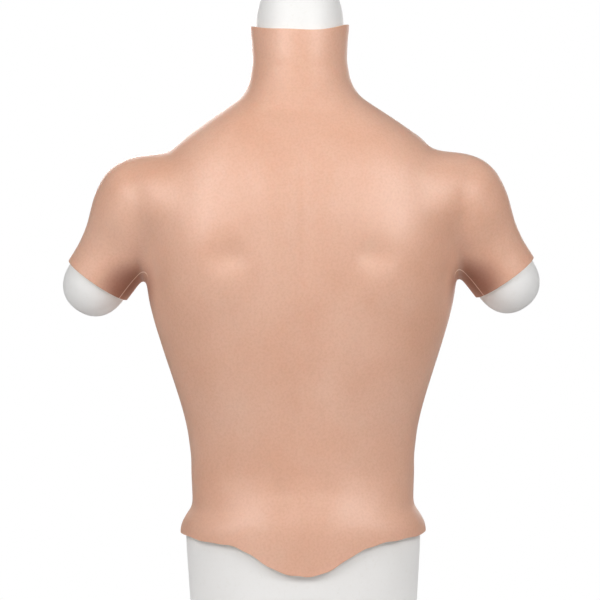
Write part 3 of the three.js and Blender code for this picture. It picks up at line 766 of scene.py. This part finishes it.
for limb, root, axis, split, end, rise, radius in limbs:
    low = split + JOINT_GAP
    inner_radius = radius - CAP_WALL
    profile = dome(inner_radius, end, rise - CAP_WALL)[::-1]
    profile += [(inner_radius, low), (radius - CAP_EDGE, low), (radius, low + CAP_EDGE)]
    profile += dome(radius, end, rise)
    cap = piece(f"{limb}_dome", turned(f"{limb}_dome", profile, root, axis, CAP_SIDES), f"{limb}_cap",
                "white_form", WHITE)
    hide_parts(f"{limb}_cap")

    plug_radius = radius - PLUG_INSET
    bore = plug_radius - PLUG_WALL - BAND_DEPTH
    flange = inner_radius - JOINT_GAP
    groove = split - RING_LENGTH / 2 - BAND_WIDTH / 2 - JOINT_GAP
    groove_top = groove + BAND_WIDTH + 2 * JOINT_GAP
    flange_low = low + PLUG_FLANGE_RISE
    profile = [(bore, split - PLUG_LENGTH), (plug_radius, split - PLUG_LENGTH), (plug_radius, groove),
               (plug_radius - BAND_DEPTH, groove), (plug_radius - BAND_DEPTH, groove_top),
               (plug_radius, groove_top), (plug_radius, flange_low), (flange, flange_low),
               (flange, flange_low + PLUG_FLANGE), (bore, flange_low + PLUG_FLANGE),
               (bore, split - PLUG_LENGTH)]
    plug = piece(f"{limb}_cap_plug", turned(f"{limb}_cap_plug", eased(profile), root, axis), f"{limb}_cap",
                 "white_form", WHITE)
    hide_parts(f"{limb}_plug")

    band_inner = plug_radius - BAND_DEPTH + JOINT_GAP
    band_outer = plug_radius + BAND_PROUD
    band_low, band_high = groove + JOINT_GAP, groove_top - JOINT_GAP
    profile = [(band_inner, band_low), (band_outer - 0.8, band_low), (band_outer - 0.2, band_low + 0.7),
               (band_outer, band_low + 2), (band_outer - 0.2, band_high - 0.7), (band_outer - 0.8, band_high),
               (band_inner, band_high), (band_inner, band_low)]
    band = piece(f"{limb}_rubber_band", turned(f"{limb}_rubber_band", profile, root, axis), f"{limb}_cap",
                 "black_rubber", BLACK_RUBBER)
    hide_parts(f"{limb}_grip_band")

    ring_inner, ring_outer = plug_radius + BAND_PROUD + JOINT_GAP, inner_radius - JOINT_GAP
    ring_low = split - RING_LENGTH
    profile = [(ring_inner, ring_low), (ring_outer, ring_low), (ring_outer, split), (ring_inner, split),
               (ring_inner, ring_low)]
    stub_ring = piece(f"{limb}_stub_ring", turned(f"{limb}_stub_ring", eased(profile), root, axis), "torso",
                      "white_form", WHITE)
    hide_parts(f"{limb}_ring")

# ---------------------------------------------------------------- Steel fittings
# Zinc-plated steel: a flanged spigot screwed under the hip block's top board, a flanged bush in the torso
# that drops over it, two pins beside it, a flanged socket for a stand's pole under the base board, and
# their screws.

FLANGE_RADIUS, FLANGE_THICKNESS = 40.0, 3.0
TUBE_WALL = 2.0
SPIGOT_RADIUS = 12.5
SOCKET_BORE = SPIGOT_RADIUS + 0.5
SCREW_RADIUS, SCREW_HEAD_RADIUS, SCREW_HEAD_HEIGHT, SCREW_LENGTH = 1.6, 3.4, 2.0, 11.0
THREAD_PITCH, THREAD_DEPTH, SCREW_POINT = 1.1, 0.35, 2
PIN_SIDES, SCREW_SIDES = 32, 24


def zinc():
    """Zinc-plated steel, with a faint spangle and turning marks."""
    material, nodes, links, shader = new_material("zinc_plating", Metallic=1.0, Anisotropic=0.3)
    spangle = noise(nodes, links, 180, 3, 1.2).outputs["Fac"]
    links.new(ramp(nodes, links, spangle, [(0.3, (0.50, 0.51, 0.53)), (0.7, (0.66, 0.67, 0.68))]),
              shader.inputs["Base Color"])
    rough = ramp(nodes, links, noise(nodes, links, 60, 3).outputs["Fac"],
                 [(0.3, (0.26, 0.26, 0.26)), (0.7, (0.42, 0.42, 0.42))])
    links.new(rough, shader.inputs["Roughness"])
    bump(nodes, links, shader, [(noise(nodes, links, 1500, 1).outputs["Fac"], 0.15, 0.0001)])
    return material


ZINC = zinc()


def flanged_tube(name, node, body, bore, flange_low, tube_low, tube_high):
    """A tube with a flange near one end, both in one turned piece."""
    tube = bore + TUBE_WALL
    flange_high = flange_low + FLANGE_THICKNESS
    if tube_low < flange_low:
        profile = [(bore, tube_low), (tube, tube_low), (tube, flange_low), (FLANGE_RADIUS, flange_low),
                   (FLANGE_RADIUS, flange_high), (tube, flange_high), (tube, tube_high), (bore, tube_high),
                   (bore, tube_low)]
    else:
        profile = [(bore, flange_low), (FLANGE_RADIUS, flange_low), (FLANGE_RADIUS, flange_high),
                   (tube, flange_high), (tube, tube_high), (bore, tube_high), (bore, flange_low)]
    made = piece(name, turned(name, eased(profile, 0.5)), body, "steel", ZINC)
    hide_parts(node)


socket_box, spigot_box, bush_box = (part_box(n) for n in ("stand_socket", "waist_spigot", "waist_bush"))
flanged_tube("pole_socket", "stand_socket", "hips", SOCKET_BORE,
             socket_box[0].z / MM, socket_box[0].z / MM, socket_box[1].z / MM)
flanged_tube("spigot", "waist_spigot", "hips", SPIGOT_RADIUS - TUBE_WALL,
             spigot_box[0].z / MM, spigot_box[0].z / MM, spigot_box[1].z / MM)
bush_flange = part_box("waist_board")[1].z / MM + JOINT_GAP
flanged_tube("bush", "waist_bush", "torso", SOCKET_BORE,
             bush_flange, bush_box[0].z / MM, bush_box[1].z / MM)

for side_name in ("left", "right"):
    low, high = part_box(f"waist_key_pin_{side_name}")
    middle = ((low.x + high.x) / 2 / MM, (low.y + high.y) / 2 / MM, 0)
    radius = (high.x - low.x) / 2 / MM
    bottom, top = low.z / MM, high.z / MM
    profile = [(0, bottom), (radius - 0.5, bottom), (radius, bottom + 0.5), (radius, top - 2),
               (radius - 1.2, top - 0.4), (radius - 2, top), (0, top)]
    name = f"key_pin_{side_name}"
    pin = piece(name, turned(name, profile, middle, sides=PIN_SIDES), "hips", "steel", ZINC)
    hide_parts(f"waist_key_pin_{side_name}")


def screw(node, body, head_down):
    """A pan-head screw with a round recess in its head and a pointed, threaded shank."""
    low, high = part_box(node)
    middle = ((low.x + high.x) / 2 / MM, (low.y + high.y) / 2 / MM)
    head, way = (low.z / MM, 1) if head_down else (high.z / MM, -1)
    recess = [(0, 1.1), (1.25, 1.0), (1.25, 0.1)]
    pan = [(1.5, 0), (2.6, 0.15), (3.1, 0.6), (3.35, 1.3), (SCREW_HEAD_RADIUS, SCREW_HEAD_HEIGHT - 0.1)]
    profile = recess + pan + [(SCREW_RADIUS, SCREW_HEAD_HEIGHT)]
    root, end = SCREW_RADIUS - THREAD_DEPTH, SCREW_HEAD_HEIGHT + SCREW_LENGTH
    turns = int((SCREW_LENGTH - 3.5) / THREAD_PITCH)
    for k in range(turns):
        at = SCREW_HEAD_HEIGHT + 1 + k * THREAD_PITCH
        profile += [(root, at), (SCREW_RADIUS, at + THREAD_PITCH / 2)]
    profile += [(root, end - SCREW_POINT), (0, end)]
    name = f"pan_{node}"
    made = piece(name, turned(name, profile, (*middle, head), (0, 0, way), SCREW_SIDES), body, "steel", ZINC)
    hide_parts(node)


for i in range(1, 5):
    screw(f"stand_socket_screw_{i}", "hips", True)
    screw(f"waist_spigot_screw_{i}", "hips", True)
    screw(f"foot_screw_{i}", "hips", True)
    screw(f"waist_bush_screw_{i}", "torso", False)

# ---------------------------------------------------------------- Feet
# Four round feet moulded in black rubber, screwed under the base board. Each has a pocket that sinks the
# head of its screw, so that the mannequin stands on rubber alone.

FOOT_POCKET_DEPTH = 3.7
FOOT_POCKET_RADIUS = SCREW_HEAD_RADIUS + 1.2
for i in range(1, 5):
    low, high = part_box(f"foot_{i}")
    middle = ((low.x + high.x) / 2 / MM, (low.y + high.y) / 2 / MM, 0)
    radius, top = (high.x - low.x) / 2 / MM, high.z / MM
    hole = SCREW_RADIUS + JOINT_GAP
    profile = [(FOOT_POCKET_RADIUS, 0), (radius - 2.4, 0), (radius - 1, 0.4), (radius - 0.3, 1.4),
               (radius, 2.8), (radius - 0.6, top - 1), (radius - 1.4, top), (hole, top),
               (hole, FOOT_POCKET_DEPTH), (FOOT_POCKET_RADIUS, FOOT_POCKET_DEPTH), (FOOT_POCKET_RADIUS, 0)]
    foot = piece(f"rubber_foot_{i}", turned(f"rubber_foot_{i}", profile, middle), "hips",
                 "black_rubber", BLACK_RUBBER)
    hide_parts(f"foot_{i}")

# ---------------------------------------------------------------- Floor, light and camera
# A pale round floor. Two soft lights stand high behind the shoulders with a weak one above them, two more
# light the front, and a level camera looks at the back.

FLOOR_RADIUS, FLOOR_SIDES = 0.62, 96


def floor_disc():
    angle = np.linspace(0, 2 * np.pi, FLOOR_SIDES, endpoint=False)
    rim = np.stack([FLOOR_RADIUS * np.cos(angle), FLOOR_RADIUS * np.sin(angle), np.zeros(FLOOR_SIDES)], 1)
    made = bpy.data.objects.new("floor", mesh_from("floor", rim, [tuple(range(FLOOR_SIDES))]))
    bpy.context.scene.collection.objects.link(made)
    return made


def floor_paint():
    material, nodes, links, shader = new_material("floor_paint", Roughness=0.8)
    clouds = noise(nodes, links, 3, 3).outputs["Fac"]
    links.new(ramp(nodes, links, clouds, [(0.3, (0.86, 0.86, 0.86)), (0.7, (0.9, 0.9, 0.9))]),
              shader.inputs["Base Color"])
    return material


floor = floor_disc()
floor.data.materials.append(floor_paint())

SHOULDERS = Vector((0, 0, 0.5))


def soft_box(name, place, size, power):
    """A white softbox aimed at the shoulders, with its size in metres and its power in watts."""
    light = bpy.data.lights.new(name, "AREA")
    light.shape, light.size, light.size_y = "RECTANGLE", size[0], size[1]
    light.energy = power
    made = bpy.data.objects.new(name, light)
    bpy.context.scene.collection.objects.link(made)
    made.location = place
    made.rotation_euler = (SHOULDERS - Vector(place)).to_track_quat("-Z", "Y").to_euler()


soft_box("key_light", (0.78, 0.95, 1.0), (0.7, 0.6), 10.9)
soft_box("fill_light", (-0.82, 0.95, 1.0), (0.7, 0.6), 10.7)
soft_box("top_light", (0, 0.9, 1.6), (1.2, 0.4), 0.6)
soft_box("front_key_light", (0.5, -1.9, 1.15), (0.7, 0.7), 25)
soft_box("front_fill_light", (-0.6, -1.9, 0.7), (1.0, 1.0), 8)

AMBIENT, BACKDROP = 0.165, 1.0  # the surroundings' light on the pieces, and how bright they look themselves
world = bpy.data.worlds.new("studio")
bpy.context.scene.world = world
world.use_nodes = True
sky = world.node_tree.nodes["Background"]
seen = world.node_tree.nodes.new("ShaderNodeLightPath")
level = world.node_tree.nodes.new("ShaderNodeMapRange")
level.inputs["To Min"].default_value = AMBIENT
level.inputs["To Max"].default_value = BACKDROP
sky.inputs["Color"].default_value = (1, 1, 1, 1)
world.node_tree.links.new(seen.outputs["Is Camera Ray"], level.inputs["Value"])
world.node_tree.links.new(level.outputs["Result"], sky.inputs["Strength"])
bpy.context.scene.view_settings.view_transform = "Standard"

VIEW_WIDTH = 0.651  # metres across the view at the mannequin
VIEW_HEIGHT = 0.4055  # of the middle of the view
CAMERA_ASIDE, CAMERA_DISTANCE = 0.0016, 2.6
CAMERA_ROLL = 0.42  # degrees
SENSOR_WIDTH = 36
camera_data = bpy.data.cameras.new("camera")
camera_data.sensor_width = SENSOR_WIDTH
camera_data.lens = SENSOR_WIDTH * CAMERA_DISTANCE / VIEW_WIDTH
camera = bpy.data.objects.new("camera", camera_data)
bpy.context.scene.collection.objects.link(camera)
camera.location = (CAMERA_ASIDE, CAMERA_DISTANCE, VIEW_HEIGHT)
camera.rotation_euler = (math.radians(90), math.radians(CAMERA_ROLL), math.radians(180))
bpy.context.scene.camera = camera
